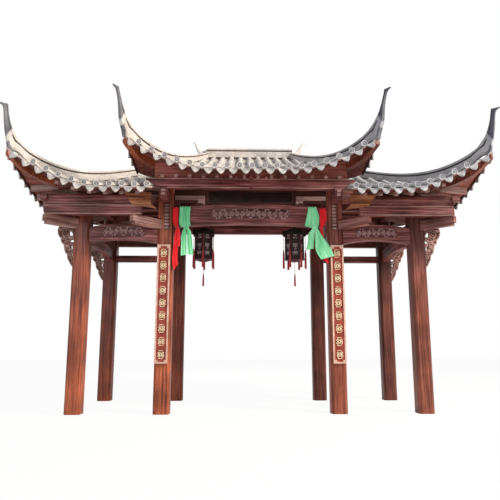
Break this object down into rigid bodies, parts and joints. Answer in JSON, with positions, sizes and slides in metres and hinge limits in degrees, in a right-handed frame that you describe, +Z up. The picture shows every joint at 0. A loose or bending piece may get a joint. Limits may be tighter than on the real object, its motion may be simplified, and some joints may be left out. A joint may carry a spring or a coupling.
{
  "type": "timber paifang gateway",
  "caption": "Timber gateway with a raised centre bay, lower side bays, tiled hipped roofs with upswept horns, carved beams, board couplets, lanterns and tied cloths.",
  "frame": {"origin": "on the ground in the middle of the plan, between the four centre posts", "axes": "+Z up, the front with the couplet boards towards -Y, +X to the right as seen from the front"},
  "size_m": [8.747, 5.1582, 5.6112],
  "materials": {
    "beam_timber": "red-brown beam timber, satin",
    "carved_timber": "carved purple-brown timber",
    "couplet_border": "pale pink-cream painted border",
    "couplet_gold": "cream-gold painted ornament",
    "couplet_red": "dark red painted board",
    "cover_tile": "weathered grey-cream fired tile",
    "eave_tile": "pale grey moulded tile",
    "green_cloth": "bright green cloth",
    "horn_tile": "grey tile and plaster horn",
    "lantern_shade": "printed lantern panel",
    "lantern_wood": "very dark lantern timber",
    "plaque_dark": "near-black lacquered board",
    "plaque_timber": "dark red-brown board",
    "post_timber": "oiled mahogany-brown timber, satin",
    "red_cloth": "bright red cloth",
    "ridge_plaster": "lime plaster over brick",
    "roof_bed": "grey pan tiles and mortar bed",
    "soffit_timber": "reddish boarding",
    "tassel": "dark red silk tassel"
  },
  "bodies": {
    "root": {"bracket_boards": "plaque_timber", "carved_post_strips": "carved_timber", "centre_cover_tiles": "cover_tile", "centre_eave_arms": "beam_timber", "centre_eave_beams": "beam_timber", "centre_eave_tiles": "eave_tile", "centre_hip_ridges": "ridge_plaster", "centre_horns": "horn_tile", "centre_king_posts": "beam_timber", "centre_main_ridge": "ridge_plaster", "centre_moon_beam": "carved_timber", "centre_posts": "post_timber", "centre_purlins": "beam_timber", "centre_rear_beam": "beam_timber", "centre_roof_deck": "roof_bed", "centre_soffit_boards": "soffit_timber", "centre_upper_ties": "beam_timber", "couplet_borders": "couplet_border", "couplet_ornaments": "couplet_gold", "inner_side_beams": "carved_timber", "lantern_beam": "beam_timber", "left_couplet_board": "couplet_red", "left_green_cloth": "green_cloth", "left_lantern_frame": "lantern_wood", "left_lantern_shade": "lantern_shade", "left_lantern_tassels": "tassel", "left_red_cloth": "red_cloth", "left_wing_arms": "beam_timber", "left_wing_cover_tiles": "cover_tile", "left_wing_eave_beams": "beam_timber", "left_wing_eave_tiles": "eave_tile", "left_wing_roof_deck": "roof_bed", "moon_beam_relief": "carved_timber", "outer_posts": "post_timber", "outer_side_beams": "carved_timber", "plaque_board": "plaque_dark", "plaque_rim": "plaque_timber", "right_couplet_board": "couplet_red", "right_green_cloth": "green_cloth", "right_lantern_frame": "lantern_wood", "right_lantern_shade": "lantern_shade", "right_lantern_tassels": "tassel", "right_red_cloth": "red_cloth", "right_wing_arms": "beam_timber", "right_wing_cover_tiles": "cover_tile", "right_wing_eave_beams": "beam_timber", "right_wing_eave_tiles": "eave_tile", "right_wing_roof_deck": "roof_bed", "scroll_brackets": "carved_timber", "wing_eave_purlins": "beam_timber", "wing_hip_ridges": "ridge_plaster", "wing_horns": "horn_tile", "wing_king_posts": "beam_timber", "wing_main_ridges": "ridge_plaster", "wing_moon_beams": "carved_timber", "wing_post_purlins": "beam_timber", "wing_rafters": "soffit_timber", "wing_rear_ties": "beam_timber"}
  },
  "joints": []
}
